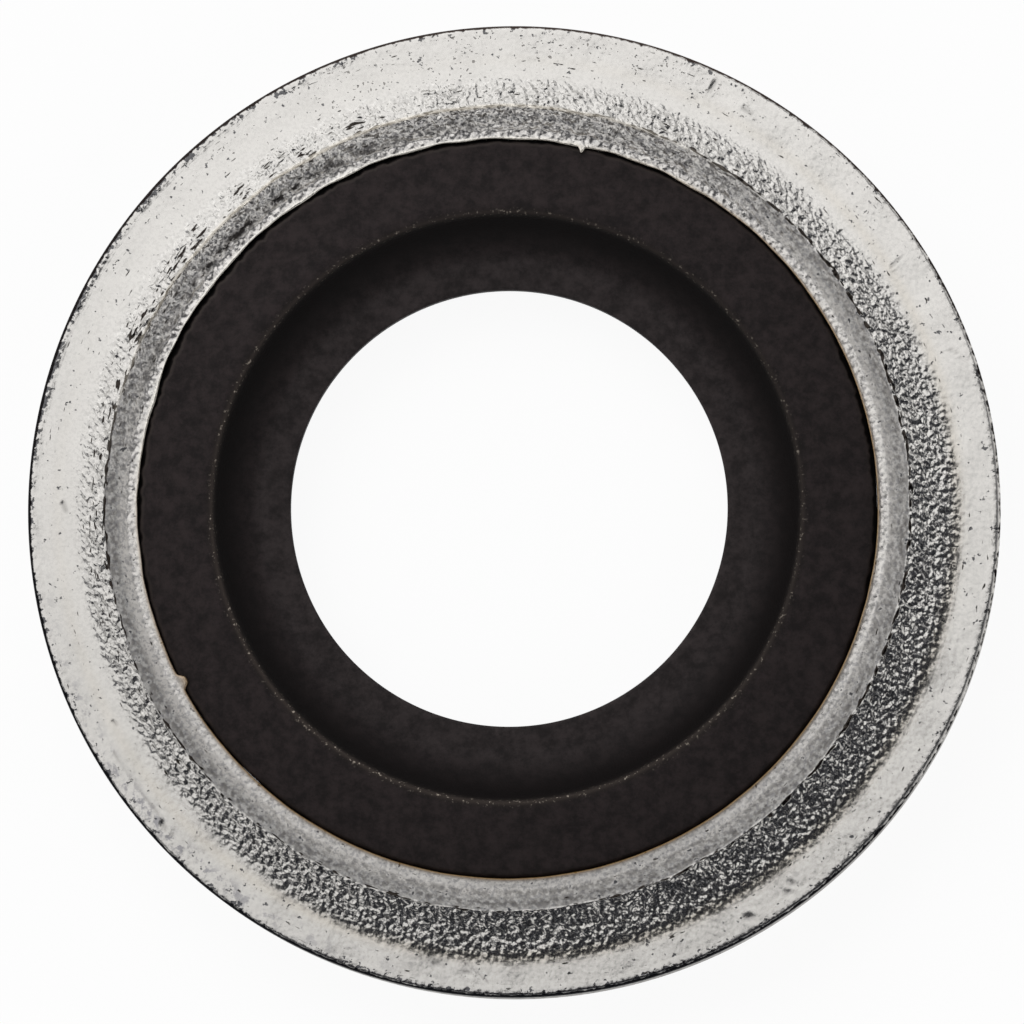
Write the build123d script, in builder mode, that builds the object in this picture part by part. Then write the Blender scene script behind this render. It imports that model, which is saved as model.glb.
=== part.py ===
from build123d import *
import os

# Bonded sealing washer: a coined steel ring with a moulded rubber seal bonded into its hole.
# Millimetres. The washer lies on its lower rubber lip: Z = 0 is that lip's crest, and the Z axis
# is the centre of the ring's outside. The seal is the same above and below the steel's middle.

# Steel ring
OUTER_DIAMETER = 24.0
STEEL_THICKNESS = 2.0
EDGE_BREAK = 0.12           # tumbled edges: outside, top and bottom, and the hole's underside
HOLE_DIAMETER = 18.25
HOLE_OFFSET_X = -0.165      # the hole is punched a little off the blank's centre
HOLE_OFFSET_Y = 0.07
BEVEL_WIDTH = 0.82          # coined bevel round the top of the hole, measured in plan
BEVEL_LAND = 0.30           # its level part, beside the hole; the rest slopes up to the ridge
BEVEL_DROP = 0.28           # from the ridge down to the hole's edge
RIDGE_RISE = 0.16           # metal thrown up by the coining, above the flat face
BULGE_WIDTH = 1.25          # from the ridge out to where the bulge runs into the flat face

# Rubber seal
LIP_PROUD = 0.35            # how far each lip stands beyond the steel's flat face
LIP_DIAMETER = 14.62        # middle of the crest
LIP_LAND = 0.12             # flat width of the crest
LIP_ROLL = 0.45             # width over which the crest rolls into the outer slope
FLANK_DEPTH = 0.30          # height of the lip's straight inner flank
FLANK_DRAFT = 0.08          # how far that flank leans inwards over its height
RUBBER_STEP = 0.08          # the rubber meets the steel this far below the coined edge
SEAM_WIDTH = 0.07           # fine groove where the rubber shrinks back from the steel
SEAM_DEPTH = 0.12
WEB_THICKNESS = 0.50
WEB_FLAT = 0.65             # flat part of the web, beside the bore
BORE_DIAMETER = 10.8        # grips the thread

# Heights and radii that follow from those sizes
steel_bottom = LIP_PROUD
steel_top = steel_bottom + STEEL_THICKNESS
middle = steel_bottom + STEEL_THICKNESS / 2
half_height = STEEL_THICKNESS / 2 + LIP_PROUD
hole_radius = HOLE_DIAMETER / 2
ridge_radius = hole_radius + BEVEL_WIDTH
ridge_top = steel_top + RIDGE_RISE
hole_edge = ridge_top - BEVEL_DROP
hole_axis = Axis((HOLE_OFFSET_X, HOLE_OFFSET_Y, 0), (0, 0, 1))

os.makedirs("parts", exist_ok=True)


def section_plane(height):
    """Upright plane through the hole's axis: x runs outwards, y is up from the given height."""
    return Plane(origin=(HOLE_OFFSET_X, HOLE_OFFSET_Y, height), x_dir=(1, 0, 0), z_dir=(0, -1, 0))


# Steel ring: the coined section is turned round the hole's axis, wider than the blank, and the
# blank's own outside, on its own centre, then trims it.
blank_radius = OUTER_DIAMETER / 2
section_reach = blank_radius + abs(HOLE_OFFSET_X) + abs(HOLE_OFFSET_Y)

with BuildPart() as steel_ring:
    with BuildSketch(section_plane(0)):
        with BuildLine():
            bulge = TangentArc(
                (ridge_radius + BULGE_WIDTH, steel_top), (ridge_radius, ridge_top), tangent=(-1, 0)
            )
            Polyline(
                bulge @ 0,
                (section_reach, steel_top),
                (section_reach, steel_bottom),
                (hole_radius + EDGE_BREAK, steel_bottom),
                (hole_radius, steel_bottom + EDGE_BREAK),
                (hole_radius, hole_edge),
                (hole_radius + BEVEL_LAND, hole_edge),
                bulge @ 1,
            )
        make_face()
    revolve(axis=hole_axis)

    with BuildSketch(Plane.XY):
        Circle(blank_radius)
    extrude(amount=ridge_top, mode=Mode.INTERSECT)
    rims = steel_ring.edges().filter_by(GeomType.CIRCLE).group_by(SortBy.RADIUS)[-1]
    chamfer(rims, EDGE_BREAK)
steel_ring.part.label = "steel_ring"
export_step(steel_ring.part, "parts/steel_ring.step")


# Rubber seal: half of its section runs from the bore out over the flat web, up a hollow into the
# lip's upright flank, over the crest and down the long outer slope to the steel. It is mirrored
# about the steel's middle and turned round the hole, which it fills to the wall.
bore_radius = BORE_DIAMETER / 2
web_top = WEB_THICKNESS / 2
lip_inner = LIP_DIAMETER / 2 - LIP_LAND / 2
lip_outer = LIP_DIAMETER / 2 + LIP_LAND / 2
wall_top = hole_edge - RUBBER_STEP - middle

# The outer slope's own line meets the crest's level halfway along the roll, so that the roll
# leaves the crest level and joins the slope without a kink.
outer_slope = (half_height - wall_top) / (hole_radius - lip_outer - LIP_ROLL / 2)

with BuildPart() as rubber_seal:
    with BuildSketch(section_plane(middle)):
        with BuildLine():
            hollow = TangentArc(
                (bore_radius + WEB_FLAT, web_top),
                (lip_inner - FLANK_DRAFT, half_height - FLANK_DEPTH),
                tangent=(1, 0),
            )
            roll = TangentArc(
                (lip_outer, half_height),
                (lip_outer + LIP_ROLL, half_height - outer_slope * LIP_ROLL / 2),
                tangent=(1, 0),
            )
            Polyline(hollow @ 1, (lip_inner, half_height), roll @ 0)
            Polyline(
                roll @ 1,
                (hole_radius - SEAM_WIDTH, wall_top + outer_slope * SEAM_WIDTH),
                (hole_radius, wall_top - SEAM_DEPTH),
                (hole_radius, 0),
                (bore_radius, 0),
                (bore_radius, web_top),
                hollow @ 0,
            )
        make_face()
        mirror(about=Plane.XZ)
    revolve(axis=hole_axis)
rubber_seal.part.label = "rubber_seal"
export_step(rubber_seal.part, "parts/rubber_seal.step")
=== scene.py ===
import bpy
import numpy as np
from mathutils import Matrix, Vector


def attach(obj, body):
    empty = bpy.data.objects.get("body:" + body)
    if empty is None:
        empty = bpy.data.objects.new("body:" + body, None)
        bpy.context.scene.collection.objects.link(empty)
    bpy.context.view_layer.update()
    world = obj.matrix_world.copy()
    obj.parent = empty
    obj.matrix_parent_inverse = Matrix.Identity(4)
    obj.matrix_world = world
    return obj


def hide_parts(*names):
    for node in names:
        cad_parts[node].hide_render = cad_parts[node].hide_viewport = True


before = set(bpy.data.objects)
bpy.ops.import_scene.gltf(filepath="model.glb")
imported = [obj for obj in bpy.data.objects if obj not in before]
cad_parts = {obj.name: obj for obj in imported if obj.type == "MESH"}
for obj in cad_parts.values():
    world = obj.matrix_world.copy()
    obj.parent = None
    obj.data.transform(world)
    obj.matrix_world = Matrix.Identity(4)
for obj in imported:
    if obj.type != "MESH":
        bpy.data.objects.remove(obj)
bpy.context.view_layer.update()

# A bonded sealing washer for a 12 mm thread, lying on a white table: a zinc-plated steel ring with
# a black rubber seal moulded into its hole. Sizes are in millimetres and turn into metres where a
# mesh is made. Heights are measured from the table, which the seal's lower lip stands on.


# --- Steel ring ---------------------------------------------------------------------------------
# Blanked and punched from 2 mm mild steel strip. A punch coined a bevel with a level land round the
# top of the hole; it threw up a sharp ridge and stretched the metal outside it into a grainy bulge.
# Then the ring was tumbled, which broke its edges, and zinc plated.

hole_centre = np.array([-0.165, 0.07])  # the hole is punched a little off the blank's centre
blank_radius, steel_bottom, steel_top = 12.0, 0.35, 2.35
hole_radius, hole_edge = 9.125, 2.23
land_radius = 9.425                     # where the bevel turns up from its level land
ridge_radius, ridge_top = 9.93, 2.51
bulge_radius = 11.195                   # where the bulge has run out into the flat rim
edge_break = 0.12
middle_radius = 10.5                    # about half way across the ring
edge_circle = 9.1                       # where the noises that make the hole's edge ragged are read
steel_turns = 1300                      # columns of the grid, 0.05 mm apart on the bulge


def eased(start, corner, end, rows):
    """A rounded corner: (1-t)^2 start + 2t(1-t) corner + t^2 end, for t from 0 to 1."""
    t = np.linspace(0, 1, rows)[:, None]
    return (1 - t) ** 2 * np.array(start) + 2 * t * (1 - t) * np.array(corner) + t ** 2 * np.array(end)


def level_arc(start, end, x):
    """Heights at x of the arc that leaves start level and reaches end.

    It turns by 2 atan(rise / run), so its radius is run / sin(turn), and its height above start is
    radius - sqrt(radius^2 - (x - start)^2), with the sign of the rise.
    """
    run, rise = end[0] - start[0], end[1] - start[1]
    radius = abs(run / np.sin(2 * np.arctan(rise / run)))
    return start[1] + np.sign(rise) * (radius - np.sqrt(radius ** 2 - (x - start[0]) ** 2))


def on_arc(start, end, first, last, rows):
    """Points of that arc at evenly spaced x from first to last."""
    x = np.linspace(first, last, rows)
    return np.column_stack([x, level_arc(start, end, x)])


def steel_section():
    """The ring's section as (radius, height): up the hole's wall, out over the top, round below.

    The punch left a burr 0.03 mm high along the hole's edge.
    """
    rise = (ridge_top - hole_edge) / (ridge_radius - land_radius)
    flat_end = blank_radius - edge_break
    wall_foot, wall_top = steel_bottom + edge_break, steel_top - edge_break
    burr = (hole_radius + 0.025, hole_edge + 0.03)
    foot, knee = (land_radius - 0.04, hole_edge), (land_radius + 0.14, hole_edge + 0.14 * rise)
    bulge = (bulge_radius, steel_top), (ridge_radius, ridge_top)
    return np.vstack([
        [(hole_radius, wall_foot), (hole_radius, 1.7), (hole_radius, 2.05)],
        eased((hole_radius, hole_edge - 0.05), (hole_radius, burr[1]), burr, 3),
        eased(burr, (hole_radius + 0.06, hole_edge), (hole_radius + 0.10, hole_edge), 4)[1:],
        np.column_stack([np.linspace(hole_radius + 0.15, foot[0], 5)[:-1], np.full(4, hole_edge)]),
        eased(foot, (land_radius, hole_edge), knee, 7),
        np.linspace(knee, (ridge_radius, ridge_top), 9)[1:],
        on_arc(*bulge, ridge_radius, bulge_radius, 31)[1:],
        np.column_stack([np.linspace(bulge_radius, flat_end, 9)[1:-1], np.full(7, steel_top)]),
        eased((flat_end, steel_top), (blank_radius, steel_top), (blank_radius, wall_top), 5),
        eased((blank_radius, wall_foot), (blank_radius, steel_bottom), (flat_end, steel_bottom), 4),
        [(middle_radius, steel_bottom), (hole_radius + edge_break, steel_bottom)],
    ])


def sheet(smallest, largest, stretch, seed, way=0.0):
    """Random relief of a square sheet, of features from smallest to largest mm.

    White noise, whose spectrum is weighed by 1 / f^1.5, f being waves per mm, so that the smaller
    sizes are the steeper. exp(-(f smallest)^4) and 1 - exp(-(f largest)^4) end it at both sizes.
    Along the way, an angle in plan, it is drawn out by the stretch. It is scaled to a slope of
    spread 1.
    """
    pixels = round(sheet_width / sheet_step)
    noise = np.fft.fft2(np.random.default_rng(seed).standard_normal((pixels, pixels)))
    x = np.fft.fftfreq(pixels, sheet_step)[:, None]
    y = np.fft.fftfreq(pixels, sheet_step)[None, :]
    along, across = x * np.cos(way) + y * np.sin(way), y * np.cos(way) - x * np.sin(way)
    f = np.maximum(np.hypot(along * stretch, across), 1e-6)
    weight = np.exp(-(f * smallest) ** 4) * (1 - np.exp(-(f * largest) ** 4)) / f ** 1.5
    relief = np.fft.ifft2(noise * weight).real
    return relief / np.hypot(*np.gradient(relief, sheet_step)).std()


def sampled(relief, plan):
    """The sheet's value at each place in plan, blended from the four nearest of its points."""
    place = plan / sheet_step + relief.shape[0] / 2
    low = np.floor(place).astype(int)
    u, v = np.moveaxis(place - low, -1, 0)
    i, j = low[..., 0] % relief.shape[0], low[..., 1] % relief.shape[1]
    after_i, after_j = (i + 1) % relief.shape[0], (j + 1) % relief.shape[1]
    near = relief[i, j] * (1 - v) + relief[i, after_j] * v
    far = relief[after_i, j] * (1 - v) + relief[after_i, after_j] * v
    return near * (1 - u) + far * u


def smooth_step(low, high, x):
    """0 below low, 1 above high, and 3t^2 - 2t^3 between them."""
    t = np.clip((x - low) / (high - low), 0, 1)
    return t * t * (3 - 2 * t)


def around(way, spread, power=2):
    """1 at one way round the ring, falling off on both sides: exp(-(angle / spread)^power)."""
    off = (np.degrees(turn) - way + 180) % 360 - 180
    return np.exp(-np.abs(off / spread) ** power)


def close_to(circle, width):
    """1 on a circle of the section, falling off to both sides: exp(-((radius - circle) / width)^2)."""
    return np.exp(-((radius - circle) / width) ** 2)


def ring_mesh(name, points, sharp_row=None, **values):
    """A closed ring from points[round the axis, round the section] in mm.

    Each cell of the grid is a quad, and the last row and column join up with the first. The extra
    values become attributes of the points: a number each, or a vector each. The edges that join
    the points of the sharp row are not smoothed over.
    """
    turns, rows = points.shape[:2]
    i, j = np.meshgrid(np.arange(turns), np.arange(rows), indexing="ij")
    following, outer = (i + 1) % turns, (j + 1) % rows
    quads = np.stack([i * rows + j, i * rows + outer, following * rows + outer, following * rows + j], -1)
    mesh = bpy.data.meshes.new(name)
    mesh.vertices.add(turns * rows)
    mesh.vertices.foreach_set("co", (points / 1000).ravel())
    mesh.loops.add(turns * rows * 4)
    mesh.loops.foreach_set("vertex_index", quads.ravel())
    mesh.polygons.add(turns * rows)
    mesh.polygons.foreach_set("loop_start", np.arange(0, turns * rows * 4, 4))
    mesh.update(calc_edges=True)
    mesh.shade_smooth()
    if sharp_row is not None:
        ends = np.empty(len(mesh.edges) * 2, dtype=np.int32)
        mesh.edges.foreach_get("vertices", ends)
        sharp = (ends.reshape(-1, 2) % rows == sharp_row).all(1)
        mesh.attributes.new("sharp_edge", "BOOLEAN", "EDGE").data.foreach_set("value", sharp)
    for label, value in values.items():
        kind, field = ("FLOAT_VECTOR", "vector") if value.ndim == 3 else ("FLOAT", "value")
        mesh.attributes.new(label, kind, "POINT").data.foreach_set(field, value.ravel())
    piece = bpy.data.objects.new(name, mesh)
    bpy.context.scene.collection.objects.link(piece)
    return piece


section = steel_section()
radius, height = section[:, 0], section[:, 1]
turn = np.linspace(0, 2 * np.pi, steel_turns, endpoint=False)[:, None]
outwards = np.stack([np.cos(turn), np.sin(turn)], -1)

# The hole, bevel and bulge turn about the hole's centre, the outside about the blank's own; between
# them the centre slides over across the flat rim.
slide = smooth_step(bulge_radius, blank_radius - edge_break, radius)[None, :, None]
plan = hole_centre * (1 - slide) + outwards * radius[None, :, None]

# Marks all over the top, of bumps from 0.11 mm up. On the bulge they are stretch marks, steepest
# beside the ridge and fading out into the flat rim. The coining left those on the bevel, and tumbling
# the faint ones on the rim. They are longest along the strip's rolling direction and, towards the
# upper left, round the hole.
sheet_width, sheet_step = 25.6, 0.025
everywhere = np.ones((steel_turns, len(section)))
rolling = np.radians(125)               # the way the strip was rolled
fade_start, fade_end = 10.75, 11.30     # where the marks of the bulge fade into the flat rim
on_top = (height > steel_top - 0.2).astype(float)
stretched = smooth_step(ridge_radius - 0.001, ridge_radius + 0.03, radius)
upper_left = 0.5 + 0.5 * np.cos(turn - 2.3)
pulled_in = 0.45 * smooth_step(0.1, 0.6, upper_left)  # the stretched band is narrower there
stretched = stretched * smooth_step(fade_end - pulled_in, fade_start - pulled_in, radius) * on_top
coined = smooth_step(ridge_radius + 0.035, ridge_radius + 0.005, radius) * on_top
sloped = smooth_step(land_radius + 0.08, land_radius + 0.28, radius) * coined
slope = (bulge_radius - radius) / (bulge_radius - ridge_radius)
torn = around(108, 66, 4)               # where the punch tore the bevel instead of smearing it
around_ring = np.stack([everywhere * turn * 3 * sheet_width / (2 * np.pi), everywhere * radius], -1)
marks = 0.6 * sampled(sheet(0.11, 0.20, 1.9, 3, rolling), plan)
marks = marks + 0.8 * np.abs(sampled(sheet(0.12, 0.40, 1.9, 13, rolling), plan))
ring_marks = 0.6 * sampled(sheet(0.11, 0.22, 2.4, 8), around_ring)
ring_marks = ring_marks + 0.8 * np.abs(sampled(sheet(0.12, 0.40, 2.4, 14), around_ring))
marks = marks * np.sqrt(1 - upper_left) + ring_marks * np.sqrt(upper_left)
swells = sampled(sheet(0.7, 3.0, 1.3, 4, rolling), plan)
patchy = sampled(sheet(1.0, 5.0, 1.0, 5), plan)
patchy = np.clip(1 + 0.30 * patchy / patchy.std(), 0.55, 1.45)
clumps = sampled(sheet(0.45, 1.6, 1.5, 12), around_ring)
clumps = np.clip(1 + 0.8 * clumps / clumps.std(), 0.15, 2.4)
even, broken = (0.028 + 0.078 * slope) * (1 - 0.9 * upper_left), 0.11 * np.abs(slope) ** 1.6
broken_share = smooth_step(0.15, 0.45, upper_left)
on_bulge = even * patchy * (1 - broken_share) + broken * clumps * broken_share
on_land = smooth_step(land_radius + 0.02, land_radius - 0.08, radius)
tearing = torn * (1 - 0.9 * on_land * around(5, 75, 4))
on_bevel = (0.03 * (1 - 0.9 * on_land) + 0.10 * tearing * (1 - 0.65 * on_land)) * patchy
gouges = np.abs(sampled(sheet(0.18, 0.9, 1.8, 15), around_ring)) * 0.17 * tearing * coined * (1 - on_land)
steepness = on_bulge * stretched + on_bevel * coined + (0.005 + 0.008 * torn) * (1 - coined)
lift = (steepness * marks + gouges + 0.006 * swells) * on_top

# Dents and scratches from tumbling: start, end, half width and depth of each groove.
dents = np.array([
    (8.84, 4.77, 10.07, 4.05, 0.030, 0.014), (6.96, -8.98, 6.69, -9.47, 0.035, 0.012),
    (-0.17, -10.12, -0.18, -10.42, 0.025, 0.010), (5.74, -10.05, 5.90, -10.03, 0.070, 0.020),
    (4.86, 10.40, 4.98, 10.60, 0.050, 0.014), (5.66, 9.96, 5.86, 9.80, 0.045, 0.012),
    (9.30, 6.00, 9.52, 6.22, 0.030, 0.010), (10.72, 3.98, 10.98, 3.86, 0.030, 0.010),
    (-9.86, -5.95, -8.60, -7.72, 0.030, 0.007), (-8.66, -7.70, -8.58, -7.84, 0.060, 0.018),
    (-9.88, -5.18, -9.80, -5.26, 0.040, 0.012), (-11.12, 0.20, -11.06, 0.02, 0.060, 0.012),
    (-2.00, -11.15, -1.05, -11.38, 0.022, 0.008), (-1.30, -11.05, -0.62, -11.62, 0.022, 0.007),
])
start, end, half_width, depth = dents[:, 0:2], dents[:, 2:4], dents[:, 4], dents[:, 5]
along = np.einsum("trc,mc->trm", plan, end - start) - ((end - start) * start).sum(1)
along = np.clip(along / ((end - start) ** 2).sum(1), 0, 1)[..., None]
away = np.linalg.norm(plan[:, :, None] - start - along * (end - start), axis=-1) / half_width
groove = np.exp(-away ** 2)
lift = lift + on_top * (depth * (0.5 * np.exp(-(away - 1.8) ** 2) - groove)).sum(-1)

# The punch left two slivers of metal that reach in over the rubber: place, half width and reach.
burrs = np.array([(208.0, 0.16, 0.17), (78.3, 0.06, 0.14)])
off = (turn - np.radians(burrs[:, 0]) + np.pi) % (2 * np.pi) - np.pi
reach = (burrs[:, 2] * np.exp(-(off * hole_radius / burrs[:, 1]) ** 4)).sum(-1)[:, None]
line = sampled(sheet(0.50, 2.5, 1.0, 6), hole_centre + edge_circle * outwards)
line = line / line.std()
upset = around(125, 70, 4)              # where that edge is ragged and burnished
ragged = (0.003 + 0.016 * upset) * line
inner_lip = close_to(hole_radius, 0.06) * (height > hole_edge - 0.1)
at_ridge = close_to(ridge_radius, 0.12) * on_top
drift = 0.026 + 0.022 * np.cos(turn) + 0.010 * line[::-1]
plan = plan - outwards * ((reach + ragged) * inner_lip + drift * at_ridge)[..., None]
lift = lift * (1 - 0.85 * smooth_step(hole_radius + 0.26, hole_radius + 0.10, radius))
lift = lift + 0.3 * reach * inner_lip

points = np.concatenate([plan, (height + lift)[..., None]], -1)
run = np.cumsum(np.hypot(*np.diff(section, axis=0, prepend=section[:1]).T))

# Where each look belongs, for the material to read: 0 is nowhere and 1 is fully. On the bevel, the land is
# made glossier by rubbing on two sides, where a painted highlight also lightens it; the crease at the
# slope's foot is darkened with painted shade towards the upper left and the lower right, with a duller,
# darker band above it; and pits with dirt in them follow the ridge on both its sides, merging along its
# foot into a painted shadow line.
foot = close_to(land_radius + 0.08, 0.10)
rubbed = (0.5 + 0.5 * np.cos(2 * turn - 0.5)) * (1 - upper_left * 0.6)
rubbed = rubbed * (1 - 0.35 * around(225, 40)) * on_land * coined
# Painted shade in the crease at the slope's foot, towards the upper left; the crease is also rougher.
creased = foot * 1.3 * around(132, 28) * coined
# Painted shade at the slope's foot towards the lower right, and a duller, darker band up the slope.
dulled = (foot * 0.6 * around(300, 75, 4) + 0.40 * close_to(land_radius + 0.34, 0.06) * (1 - torn)) * coined
beside_ridge = close_to(ridge_radius + 0.20, 0.22) * (radius > ridge_radius) * (1 - coined)
# A painted shadow line along the ridge's outer foot, weakest towards the upper left, where the light comes
# from.
under_ridge = 1.75 + 0.9 * around(10, 65, 4) + 0.9 * around(168, 35, 4) - 0.7 * around(115, 35, 4)
under_ridge = under_ridge * close_to(ridge_radius + 0.03 + 0.03 * np.cos(turn), 0.038)

# The flat rim has specks, a stain left by the plating bath and, beside its edge, dark flecks. The edge
# itself is darkened with painted shade and dark reflection, strongest towards the left and weakest at the
# right, and is rougher.
clumpy = 0.6 + 0.4 * np.minimum(clumps, 1.6)
speckled = (0.3 * around(270, 70, 4) + around(88, 52, 4)) * clumpy * (1 - coined) * on_top
stained = close_to(blank_radius - 0.34, 0.22) * around(222, 27) * on_top
flecked = 0.35 + 1.05 * around(152, 42) + 0.4 * around(275, 45)
flecked = flecked * smooth_step(blank_radius - 0.28, blank_radius - 0.03, radius) * on_top * clumpy
at_edge = smooth_step(blank_radius - edge_break, blank_radius - 0.02, radius)
# How strong the outer edge's painted shade is round the ring.
wear = 0.82 - 0.06 * np.cos(turn - 1.3) + 0.32 * around(150, 50) - 0.32 * around(350, 45)

# Roughness, and the height in mm of the finest grain. `lay` is a place on the ring's surface unrolled:
# round the axis at the middle radius, and across the section.
roughness = 0.19 + 0.02 * stretched + (0.33 - 0.22 * torn) * coined - 0.24 * rubbed
roughness = roughness - 0.15 * inner_lip * upset + 0.12 * (creased + dulled)
roughness = roughness + 0.3 * at_edge * around(355, 50)
grain_depth = (0.020 + 0.045 * torn) * coined * (1 - 0.25 * on_land - 0.65 * inner_lip)
grain_depth = grain_depth + 0.003 + 0.042 * stretched + 0.004 * speckled + 0.020 * flecked
steel = ring_mesh(
    "steel_ring_body", points, sharp_row=int(np.argmax(height)),
    coined=everywhere * coined,
    sloped=everywhere * sloped,
    torn=torn * coined * (1 - 0.5 * on_land),
    rubbed=rubbed,
    # grit on the bulge, with painted shade that makes it darker towards the lower right
    gritty=(0.30 + 0.70 * (1 - upper_left)) * stretched + 0.10 * (1 - stretched),
    creased=creased,
    dulled=dulled,
    stained=stained,
    # painted highlight across the slope towards the top
    lit_slope=close_to(land_radius + 0.37, 0.08) * around(85, 75) * coined,
    # painted light: the bevel lighter towards the upper left, where the light comes from
    upper=upper_left * coined,
    bonded_lip=inner_lip * (1 - upset),
    # the hole's edge towards the upper left: glossier from burnishing, and lightened with a painted
    # highlight
    burnished=inner_lip * upset,
    # painted highlight along the ridge towards the upper left
    ridge_line=close_to(ridge_radius + 0.02, 0.035) * on_top * around(112, 45, 4),
    # pits with dirt beside the ridge, and the painted shadow line along its foot
    pitted=(beside_ridge * around(145, 60) * np.minimum(clumps, 1.3) + under_ridge) * on_top,
    speckled=speckled,
    flecked=flecked,
    # painted shade: the outer edge towards the lower right darkened blue grey, as if mirroring a dark room
    rolled_over=close_to(blank_radius - 0.03, 0.12) * around(285, 40) * on_top,
    # painted shade and dark reflection on the outer edge
    worn_edge=at_edge * wear,
    # painted light: the flat rim lighter towards the top
    bright_side=everywhere * around(80, 110, 4),
    band_end=close_to(fade_end - 0.20, 0.16) * (1 - upper_left) * on_top,
    # painted light: the edge's shade lighter towards the top, where it is lit
    faded_edge=everywhere * around(80, 60),
    dented=groove.max(-1) * on_top,
    roughness=roughness,
    grain_depth=grain_depth,
    lay=np.concatenate([
        middle_radius * outwards * everywhere[..., None], (everywhere * run)[..., None],
    ], -1),
)


def linear(code):
    """An sRGB hex colour as linear light: ((c + 0.055) / 1.055)^2.4, or c / 12.92 near black."""
    c = np.array([int(code[k:k + 2], 16) for k in (1, 3, 5)]) / 255
    return (*np.where(c > 0.04045, ((c + 0.055) / 1.055) ** 2.4, c / 12.92), 1)


def add_node(tree, kind, inputs={}, output=0, **settings):
    """Add a node and give back one of its outputs, or the node itself where it has none.

    The settings are the node's own options. Each input is a value, a hex colour, or the output of
    another node that feeds it.
    """
    node = tree.nodes.new(kind)
    for name, value in settings.items():
        setattr(node, name, value)
    for name, value in inputs.items():
        if isinstance(value, bpy.types.NodeSocket):
            tree.links.new(value, node.inputs[name])
        else:
            node.inputs[name].default_value = linear(value) if isinstance(value, str) else value
    return node.outputs[output] if node.outputs else node


def new_material(name):
    """A material with no nodes yet, and its node tree."""
    material = bpy.data.materials.new(name)
    material.use_nodes = True
    material.node_tree.nodes.clear()
    return material, material.node_tree


# Bright zinc over tumbled mild steel: a pale warm grey, satin on the flat rim and the bulge, and on the
# bevel matt, mottled and darker, but for its land, which rubbing has made glossy. Painted light and shade
# lie over these tones: the rim, the land and the slope are lighter towards the top and upper left,
# highlights are painted on the land, the ridge and the hole's edge, and painted shade darkens the crease,
# the ridge's foot, the bulge's grit towards the lower right and the outer edge. Pits hold dark dirt, and a
# thin line of brown, cured bonding agent runs along the hole.
zinc, tree = new_material("zinc_plated_tumbled_steel")
place = add_node(tree, "ShaderNodeTexCoord", output="Object")
lay = add_node(tree, "ShaderNodeAttribute", output="Vector", attribute_name="lay")
at = {
    name: add_node(tree, "ShaderNodeAttribute", output="Fac", attribute_name=name)
    for name in (
        "coined", "sloped", "torn", "rubbed", "gritty", "creased", "dulled", "stained", "lit_slope",
        "upper", "bonded_lip", "burnished", "ridge_line", "pitted", "speckled", "flecked", "rolled_over",
        "worn_edge", "faded_edge", "bright_side", "band_end", "dented", "roughness", "grain_depth",
    )
}

# Noises, each with the size of its features in mm. The plating's own grain is a few hundredths of a
# millimetre, too fine to show, so the fine noise and the grit are drawn at about 0.1 mm. The fine one
# is a little longer along the rolling direction, the streaks run round the ring, and the shear runs
# down the outer wall.
rolled = add_node(tree, "ShaderNodeMapping", {"Vector": place, "Rotation": (0, 0, -rolling)})
rolled = add_node(tree, "ShaderNodeVectorMath", {0: rolled, 1: (0.75, 1.0, 1.0)}, operation="MULTIPLY")
along_ring = add_node(tree, "ShaderNodeVectorMath", {0: lay, 1: (0.25, 0.25, 1.0)}, operation="MULTIPLY")
upright = add_node(tree, "ShaderNodeVectorMath", {0: place, 1: (1.0, 1.0, 0.1)}, operation="MULTIPLY")
fine, cloud, blotch, grit, smut, streak, shear = [
    add_node(tree, "ShaderNodeTexNoise", {
        "Vector": vector, "Scale": unit / size, "Detail": detail, "Roughness": rough,
    })
    for vector, unit, size, detail, rough in (
        (rolled, 1000, 0.105, 0.6, 0.5), (place, 1000, 0.80, 3.0, 0.5), (place, 1000, 0.16, 2.0, 0.6),
        (place, 1000, 0.085, 1.0, 0.6), (place, 1000, 0.30, 4.0, 0.7),
        (along_ring, 1, 0.075, 1.0, 0.5), (upright, 1000, 0.14, 2.0, 0.6),
    )
]

# Pits, flecks, specks and the edge's painted shade show where a noise, raised by a share of the attribute,
# passes a level; the pits also carry the ridge's painted shadow line.
pits, flecks, specks, edge = [
    add_node(tree, "ShaderNodeMapRange", {
        "Value": add_node(tree, "ShaderNodeMath", {
            0: at[name], 1: share, 2: noise,
        }, operation="MULTIPLY_ADD"),
        "From Min": low, "From Max": high,
    }, interpolation_type="SMOOTHSTEP")
    for name, share, noise, low, high in (
        ("pitted", 0.14, streak, 0.72, 0.79), ("flecked", 0.20, blotch, 0.66, 0.73),
        ("speckled", 0.15, grit, 0.84, 0.90), ("worn_edge", 1.0, blotch, 0.85, 1.15),
    )
]

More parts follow.
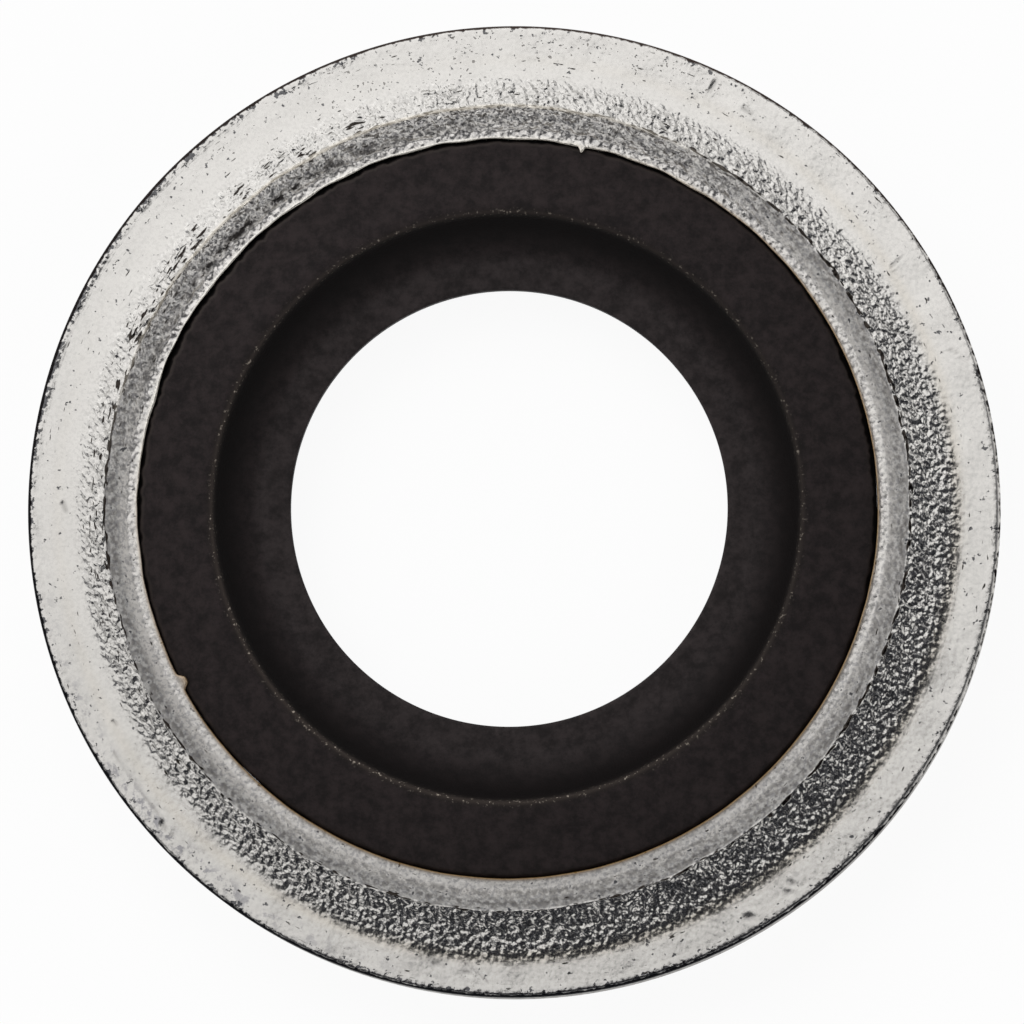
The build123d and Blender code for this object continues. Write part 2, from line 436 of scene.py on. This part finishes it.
# The other tones come in blots of a noise, weighed by where they belong. Some are painted light and shade:
# the bulge's dark grit, heavier towards the lower right, and the dark crease and slope foot are painted
# shade, and the glints on the torn bevel are painted highlights.
grits, smutty, dull, torn_grit, mottle, stain, glints = [
    add_node(tree, "ShaderNodeMath", {
        0: add_node(tree, "ShaderNodeMapRange", {
            "Value": noise, "From Min": low, "From Max": high,
        }, interpolation_type="SMOOTHSTEP"),
        1: at[name],
    }, operation="MULTIPLY")
    for name, noise, low, high in (
        ("gritty", grit, 0.56, 0.36), ("creased", smut, 0.58, 0.44), ("dulled", blotch, 0.62, 0.42),
        ("torn", blotch, 0.52, 0.40), ("coined", grit, 0.51, 0.36), ("stained", smut, 0.48, 0.60),
        # painted highlights: glints on the torn bevel
        ("torn", grit, 0.56, 0.64),
    )
]
blotches = add_node(tree, "ShaderNodeMapRange", {
    "Value": blotch, "From Min": 0.36, "From Max": 0.62,
}, interpolation_type="SMOOTHSTEP")

# The edge's painted shade and its flecks end, along a ragged line, at the top of the outer wall. Below it
# the sheared metal shows, rough and with upright streaks from the blanking die. The line's heights are in
# metres.
wall_height = add_node(tree, "ShaderNodeSeparateXYZ", {"Vector": place}, 2)
wall_height = add_node(tree, "ShaderNodeMath", {
    0: blotch, 1: 0.0004, 2: wall_height,
}, operation="MULTIPLY_ADD")
below = add_node(tree, "ShaderNodeMapRange", {
    "Value": wall_height, "From Min": 0.00242, "From Max": 0.00226,
}, interpolation_type="SMOOTHSTEP")
above = add_node(tree, "ShaderNodeMath", {0: 1.0, 1: below}, operation="SUBTRACT")
edge = add_node(tree, "ShaderNodeMath", {0: edge, 1: above}, operation="MULTIPLY")
flecks = add_node(tree, "ShaderNodeMath", {0: flecks, 1: above}, operation="MULTIPLY")
sheared = add_node(tree, "ShaderNodeMapRange", {
    "Value": shear, "From Min": 0.35, "From Max": 0.65, "To Min": 0.72,
})
sheared = add_node(tree, "ShaderNodeMath", {0: sheared, 1: below}, operation="MULTIPLY")
sheared = add_node(tree, "ShaderNodeMath", {0: sheared, 1: at["worn_edge"]}, operation="MULTIPLY")

# In a Mix node, sockets 6 and 7 are its two colours, and output 2 is their blend.
# A cloudy mottle, and painted light that makes the flat rim lighter towards the top.
cloudy = add_node(tree, "ShaderNodeMath", {0: cloud, 1: 0.45}, operation="MULTIPLY")
cloudy = add_node(tree, "ShaderNodeMath", {
    0: at["bright_side"], 1: 0.65, 2: cloudy,
}, operation="MULTIPLY_ADD")
flat = add_node(tree, "ShaderNodeMix", {0: cloudy, 6: "#CDCAC5", 7: "#ECE9E4"}, 2, data_type="RGBA")
# Painted light: the land lighter towards the upper left.
land = add_node(tree, "ShaderNodeMix", {0: at["upper"], 6: "#D6D3CF", 7: "#EFEBE6"}, 2, data_type="RGBA")
# Painted highlight: the land lighter still where rubbing has left it glossy.
land = add_node(tree, "ShaderNodeMix", {0: at["rubbed"], 6: land, 7: "#F6F2EC"}, 2, data_type="RGBA")
incline = add_node(tree, "ShaderNodeMix", {0: blotches, 6: "#A19E9B", 7: "#CCCAC7"}, 2, data_type="RGBA")
# A painted highlight across the slope towards the top.
incline = add_node(tree, "ShaderNodeMix", {
    0: at["lit_slope"], 6: incline, 7: "#EEEAE5",
}, 2, data_type="RGBA")
bevel = add_node(tree, "ShaderNodeMix", {0: at["sloped"], 6: land, 7: incline}, 2, data_type="RGBA")
colour = add_node(tree, "ShaderNodeMix", {0: at["coined"], 6: flat, 7: bevel}, 2, data_type="RGBA")
# The outer edge's painted shade, lighter towards the top, where light falls on it.
worn_tone = add_node(tree, "ShaderNodeMix", {
    0: at["faded_edge"], 6: "#17181C", 7: "#554A45",
}, 2, data_type="RGBA")

# Each layer covers what is below it, as far as its mask and its share allow.
layers = [
    (grits, 0.62, "#434245"), (torn_grit, 0.80, "#716E6C"), (glints, 0.7, "#FBF8F3"),
    (mottle, 0.36, "#85858C"), (smutty, 0.95, "#3E3B3A"), (stain, 0.75, "#807F86"),
    (dull, 0.85, "#4C4948"), (at["band_end"], 0.35, "#D8CBB4"), (specks, 0.70, "#5E5955"),
    (at["rolled_over"], 0.40, "#5C616B"), (flecks, 0.85, "#34363E"), (pits, 1.0, "#3A3531"),
    (at["dented"], 0.4, "#5A5653"), (at["burnished"], 1.0, "#FFFAEE"), (at["ridge_line"], 0.8, "#FFF6E6"),
    (at["bonded_lip"], 0.95, "#9C7634"), (sheared, 0.95, "#5E5B59"), (edge, 1.0, worn_tone),
]
for mask, share, tone in layers:
    amount = add_node(tree, "ShaderNodeMath", {0: mask, 1: share}, operation="MULTIPLY")
    colour = add_node(tree, "ShaderNodeMix", {0: amount, 6: colour, 7: tone}, 2, data_type="RGBA")

gloss = add_node(tree, "ShaderNodeMath", {0: edge, 1: 0.5, 2: at["roughness"]}, operation="MULTIPLY_ADD")
gloss = add_node(tree, "ShaderNodeMath", {0: sheared, 1: 0.4, 2: gloss}, operation="MULTIPLY_ADD")
relief = add_node(tree, "ShaderNodeMath", {0: fine, 1: at["grain_depth"]}, operation="MULTIPLY")
for mask, change in ((pits, -0.008), (flecks, -0.002), (specks, -0.002)):
    relief = add_node(tree, "ShaderNodeMath", {0: mask, 1: change, 2: relief}, operation="MULTIPLY_ADD")
bump = add_node(tree, "ShaderNodeBump", {"Height": relief, "Distance": 0.001, "Strength": 1.0})
shader = add_node(tree, "ShaderNodeBsdfPrincipled", {
    "Base Color": colour, "Metallic": 1.0, "Roughness": gloss, "Normal": bump,
})
add_node(tree, "ShaderNodeOutputMaterial", {"Surface": shader})
steel.data.materials.append(zinc)
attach(steel, "root")
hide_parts("steel_ring")


# --- Rubber seal --------------------------------------------------------------------------------
# Black nitrile rubber, moulded in one shot and bonded to the steel's bare inner wall. A thin web
# beside the bore grips the thread; a lip stands proud of the steel on each face.

bore_radius, middle, web_top = 5.4, 1.35, 1.60
hollow_start, hollow_end = (6.05, web_top), (7.17, 2.40)
crest_inner, crest_outer, crest = 7.25, 7.37, 2.70
roll_end = (7.82, 2.6191)
seal_edge, seam_floor = 2.15, 2.03      # where the slope meets the steel, and the groove's bottom
seal_turns = 880


def seal_half_section(seam):
    """The upper half of the seal's section, from the bore to the wall, for one seam width."""
    slope = (roll_end[1] - seal_edge) / (hole_radius - roll_end[0])
    shoulder = np.array([hole_radius - seam, seal_edge + seam * slope])
    down_slope = np.linspace(roll_end, shoulder - (0.10, -0.10 * slope), 15)
    return np.vstack([
        eased((bore_radius, web_top - 0.07), (bore_radius, web_top), (bore_radius + 0.07, web_top), 5),
        np.column_stack([np.linspace(5.6, 5.95, 3), np.full(3, web_top)]),
        on_arc(hollow_start, hollow_end, hollow_start[0], hollow_end[0], 16),
        [(7.195, 2.50)],
        eased((7.235, 2.645), (crest_inner, crest), (crest_inner + 0.06, crest), 5),
        on_arc((crest_outer, crest), roll_end, crest_outer, roll_end[0], 7)[:-1],
        down_slope,
        eased(down_slope[-1], shoulder, (hole_radius - 0.004, seam_floor), 6)[1:],
    ])


# The groove along the steel has a ragged width, given in mm at ten angles. The section changes evenly
# with that width, so each column of the grid blends the sections of two widths.
seal_turn = np.linspace(0, 2 * np.pi, seal_turns, endpoint=False)
seal_outwards = np.stack([np.cos(seal_turn), np.sin(seal_turn)], -1)
ragged_line = sampled(sheet(0.12, 0.8, 1.0, 7), edge_circle * seal_outwards)
seam = np.interp(
    np.degrees(seal_turn), (0, 20, 50, 80, 110, 150, 200, 240, 280, 330),
    (0.10, 0.09, 0.03, 0.045, 0.075, 0.10, 0.04, 0.035, 0.015, 0.03), period=360,
)
seam = np.clip(seam * (1 + 0.25 * ragged_line / ragged_line.std()), 0.012, 0.15)[:, None, None]
narrow, wide = seal_half_section(0.0), seal_half_section(0.1)
upper = narrow + (wide - narrow) * seam / 0.1
lower = upper[:, ::-1] * (1, -1) + (0, 2 * middle)
seal_section = np.concatenate([upper, lower], 1)
seal_radius = seal_section[..., 0]
bore_shift = np.array([0.025, 0.037])    # the web's core pin sat a little off the steel's hole
inward = smooth_step(7.2, 5.6, seal_radius)[..., None]
seal_plan = hole_centre + bore_shift * inward + seal_outwards[:, None] * seal_radius[..., None]
seal_points = np.concatenate([seal_plan, seal_section[..., 1:]], -1)

# The hollow between the web and the crest is painted near black as shade, fading out onto the web and
# outside the crest. The crest carries a painted highlight, stronger towards the lower left, and the slope's
# outer edge a painted lighter edge, strongest towards the upper left.
dusty = np.maximum(smooth_step(7.15, 6.0, seal_radius), smooth_step(7.2, 7.5, seal_radius))
shoulder_radius = hole_radius - seam[..., 0]
crest_wear = (0.7 - 0.3 * np.cos(seal_turn - 1.1))[:, None]
shoulder_wear = (0.5 + 0.5 * np.cos(seal_turn - 2.1))[:, None]
seal = ring_mesh(
    "rubber_seal_body", seal_points,
    dusty=dusty,
    web=smooth_step(6.6, 6.0, seal_radius),
    crest_line=np.exp(-((seal_radius - crest_inner - 0.04) / 0.065) ** 2) * crest_wear,
    # painted shadow: the groove along the steel blackened where it is wide
    gap=smooth_step(shoulder_radius - 0.004, shoulder_radius + 0.02, seal_radius) * (seam[..., 0] > 0.03),
    rolled_edge=np.exp(-((seal_radius - shoulder_radius + 0.035) / 0.035) ** 2) * shoulder_wear,
)

# Nitrile rubber as it leaves a blasted mould: black-brown and matt, with a faint bloom of dust on the web
# and the outer slope. The hollow is painted near black as shade, the crest and the slope's outer edge carry
# painted highlights, and the groove along the steel is painted black as shadow.
rubber, tree = new_material("moulded_nitrile_rubber")
place = add_node(tree, "ShaderNodeTexCoord", output="Object")
at = {
    name: add_node(tree, "ShaderNodeAttribute", output="Fac", attribute_name=name)
    for name in ("dusty", "web", "crest_line", "gap", "rolled_edge")
}
bloom = add_node(tree, "ShaderNodeTexNoise", {
    "Vector": place, "Scale": 1000 / 0.35, "Detail": 5.0, "Roughness": 0.74,
})
skin = add_node(tree, "ShaderNodeTexNoise", {"Vector": place, "Scale": 1000 / 0.07, "Detail": 2.0})
bloom, specks = [
    add_node(tree, "ShaderNodeMapRange", {
        "Value": noise, "From Min": low, "From Max": high,
    }, interpolation_type="SMOOTHSTEP")
    for noise, low, high in ((bloom, 0.32, 0.68), (skin, 0.60, 0.72))
]
specks = add_node(tree, "ShaderNodeMath", {0: at["crest_line"], 1: specks}, operation="MULTIPLY")
# Painted highlight along the crest, stronger towards the lower left.
rubbed_crest = add_node(tree, "ShaderNodeMath", {0: at["crest_line"], 1: 0.9}, operation="MULTIPLY")
# Painted highlight on the slope's outer edge, strongest towards the upper left.
rubbed_edge = add_node(tree, "ShaderNodeMath", {0: at["rolled_edge"], 1: 0.7}, operation="MULTIPLY")
colour = add_node(tree, "ShaderNodeMix", {0: bloom, 6: "#161212", 7: "#2A2323"}, 2, data_type="RGBA")
dusted = add_node(tree, "ShaderNodeMix", {0: bloom, 6: "#1E1A1A", 7: "#332D2D"}, 2, data_type="RGBA")
colour = add_node(tree, "ShaderNodeMix", {0: at["web"], 6: colour, 7: dusted}, 2, data_type="RGBA")
# Painted shade: the hollow near black.
colour = add_node(tree, "ShaderNodeMix", {0: at["dusty"], 6: "#090505", 7: colour}, 2, data_type="RGBA")
for amount, tone in (
    (rubbed_crest, "#352E2A"), (rubbed_edge, "#403A37"), (specks, "#A0968A"), (at["gap"], "#030202"),
):
    colour = add_node(tree, "ShaderNodeMix", {0: amount, 6: colour, 7: tone}, 2, data_type="RGBA")
bump = add_node(tree, "ShaderNodeBump", {"Height": skin, "Distance": 0.000010, "Strength": 1.0})
shader = add_node(tree, "ShaderNodeBsdfPrincipled", {
    "Base Color": colour, "Roughness": 0.66, "Specular IOR Level": 0.18, "Normal": bump,
})
add_node(tree, "ShaderNodeOutputMaterial", {"Surface": shader})
seal.data.materials.append(rubber)
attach(seal, "root")
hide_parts("rubber_seal")


# --- Table --------------------------------------------------------------------------------------
# A plain white table top. It shows white to the camera and in reflections, and keeps the washer's
# shadow.

table_size = 3.0                        # in metres
mesh = bpy.data.meshes.new("table_top")
corner = table_size / 2
corners = [(-corner, -corner, 0), (corner, -corner, 0), (corner, corner, 0), (-corner, corner, 0)]
mesh.from_pydata(corners, [], [(0, 1, 2, 3)])
table = bpy.data.objects.new("table_top", mesh)
bpy.context.scene.collection.objects.link(table)
white, tree = new_material("white_table_top")
seen = add_node(tree, "ShaderNodeLightPath", output="Is Camera Ray")
for kind in ("Is Glossy Ray", "Is Transmission Ray"):
    ray = add_node(tree, "ShaderNodeLightPath", output=kind)
    seen = add_node(tree, "ShaderNodeMath", {0: seen, 1: ray}, operation="MAXIMUM")
share = add_node(tree, "ShaderNodeMath", {0: seen, 1: 0.93}, operation="MULTIPLY")
lit = add_node(tree, "ShaderNodeBsdfDiffuse", {"Color": "#F4F4F4"})
glow = add_node(tree, "ShaderNodeEmission", {"Color": (1, 1, 1, 1), "Strength": 1.0})
surface = add_node(tree, "ShaderNodeMixShader", {0: share, 1: lit, 2: glow})
add_node(tree, "ShaderNodeOutputMaterial", {"Surface": surface})
mesh.materials.append(white)


# --- Light --------------------------------------------------------------------------------------
# A rectangular softbox towards the upper left of the view and, lower on the same side, a smaller panel
# that isn't mirrored in the steel, in a room that is pale at its walls and dark overhead. Their sizes
# and distances are in metres.

view_up = np.array([-0.41, 0.91])       # the way, in plan, that the camera leans away from


def aimed(name, data, place, target, up):
    """An object whose -Z looks from place at target, with its Y as near as can be to up."""
    back = (Vector(place) - Vector(target)).normalized()
    across = Vector(up).cross(back).normalized()
    turned = Matrix((across, back.cross(across), back)).transposed().to_4x4()
    item = bpy.data.objects.new(name, data)
    item.matrix_world = Matrix.Translation(place) @ turned
    bpy.context.scene.collection.objects.link(item)
    return item


key_way = np.radians(125)               # the side the light comes from, in plan


def overhead_panel(name, lean, reach, width, length, energy, up):
    """A rectangular panel lamp at a lean from the vertical, facing the washer."""
    lamp = bpy.data.lights.new(name, "AREA")
    lamp.shape, lamp.size, lamp.size_y, lamp.energy = "RECTANGLE", width, length, energy
    place = reach * np.array([
        np.sin(lean) * np.cos(key_way), np.sin(lean) * np.sin(key_way), np.cos(lean),
    ])
    item = aimed(name, lamp, place, (0, 0, 0), up)
    item.visible_camera = False
    return item


away = (np.cos(key_way), np.sin(key_way), 0)
overhead_panel("softbox", np.radians(21.5), 0.5, 0.60, 0.45, 0.81, away)
key = overhead_panel("diffuse_key", np.radians(45), 0.5, 0.40, 0.40, 1.1, away)
key.visible_glossy = False

room = bpy.data.worlds.new("studio_room")
bpy.context.scene.world = room
room.use_nodes = True
tree = room.node_tree
tree.nodes.clear()
way = add_node(tree, "ShaderNodeTexCoord", output="Generated")
rise = add_node(tree, "ShaderNodeSeparateXYZ", {0: way}, "Z")
walls = add_node(tree, "ShaderNodeMapRange", {
    "Value": rise, "From Min": 0.60, "From Max": 0.85, "To Min": 0.70, "To Max": 0.015,
}, interpolation_type="SMOOTHSTEP")
side = add_node(tree, "ShaderNodeVectorMath", {0: way, 1: (*view_up, 0)}, "Value", operation="DOT_PRODUCT")
tint = add_node(tree, "ShaderNodeMapRange", {
    "Value": side, "From Min": -1.0, "From Max": 1.0, "To Min": 1.1, "To Max": 0.9,
})
level = add_node(tree, "ShaderNodeMath", {0: walls, 1: tint}, operation="MULTIPLY")
camera_ray = add_node(tree, "ShaderNodeLightPath", output="Is Camera Ray")
strength = add_node(tree, "ShaderNodeMix", {0: camera_ray, 2: level, 3: 1.0})
bright = add_node(tree, "ShaderNodeMath", {0: strength, 1: 4.0}, operation="MULTIPLY", use_clamp=True)
shade = add_node(tree, "ShaderNodeMix", {
    0: bright, 6: (0.80, 0.90, 1.30, 1), 7: (1, 1, 1, 1),
}, 2, data_type="RGBA")
background = add_node(tree, "ShaderNodeBackground", {"Color": shade, "Strength": strength})
add_node(tree, "ShaderNodeOutputWorld", {"Surface": background})


# --- Camera -------------------------------------------------------------------------------------
# A long lens almost straight above: it leans 3.4 degrees from the vertical, towards the bottom of the
# frame and a little to the right.

frame_width = 25.315                    # mm across at the washer's mid height
camera_reach = 400.0                    # mm
lean = np.radians(3.4)
target = np.array([-0.071, 0.026, 1.35])
camera_place = target + camera_reach * np.append(-view_up * np.sin(lean), np.cos(lean))
camera_data = bpy.data.cameras.new("camera")
camera_data.sensor_width = 36.0
camera_data.lens = camera_data.sensor_width * camera_reach / frame_width
camera_data.clip_start, camera_data.clip_end = 0.01, 10.0
camera = aimed("camera", camera_data, camera_place / 1000, target / 1000, (0, 1, 0))
bpy.context.scene.camera = camera
bpy.context.scene.view_settings.view_transform = "Standard"
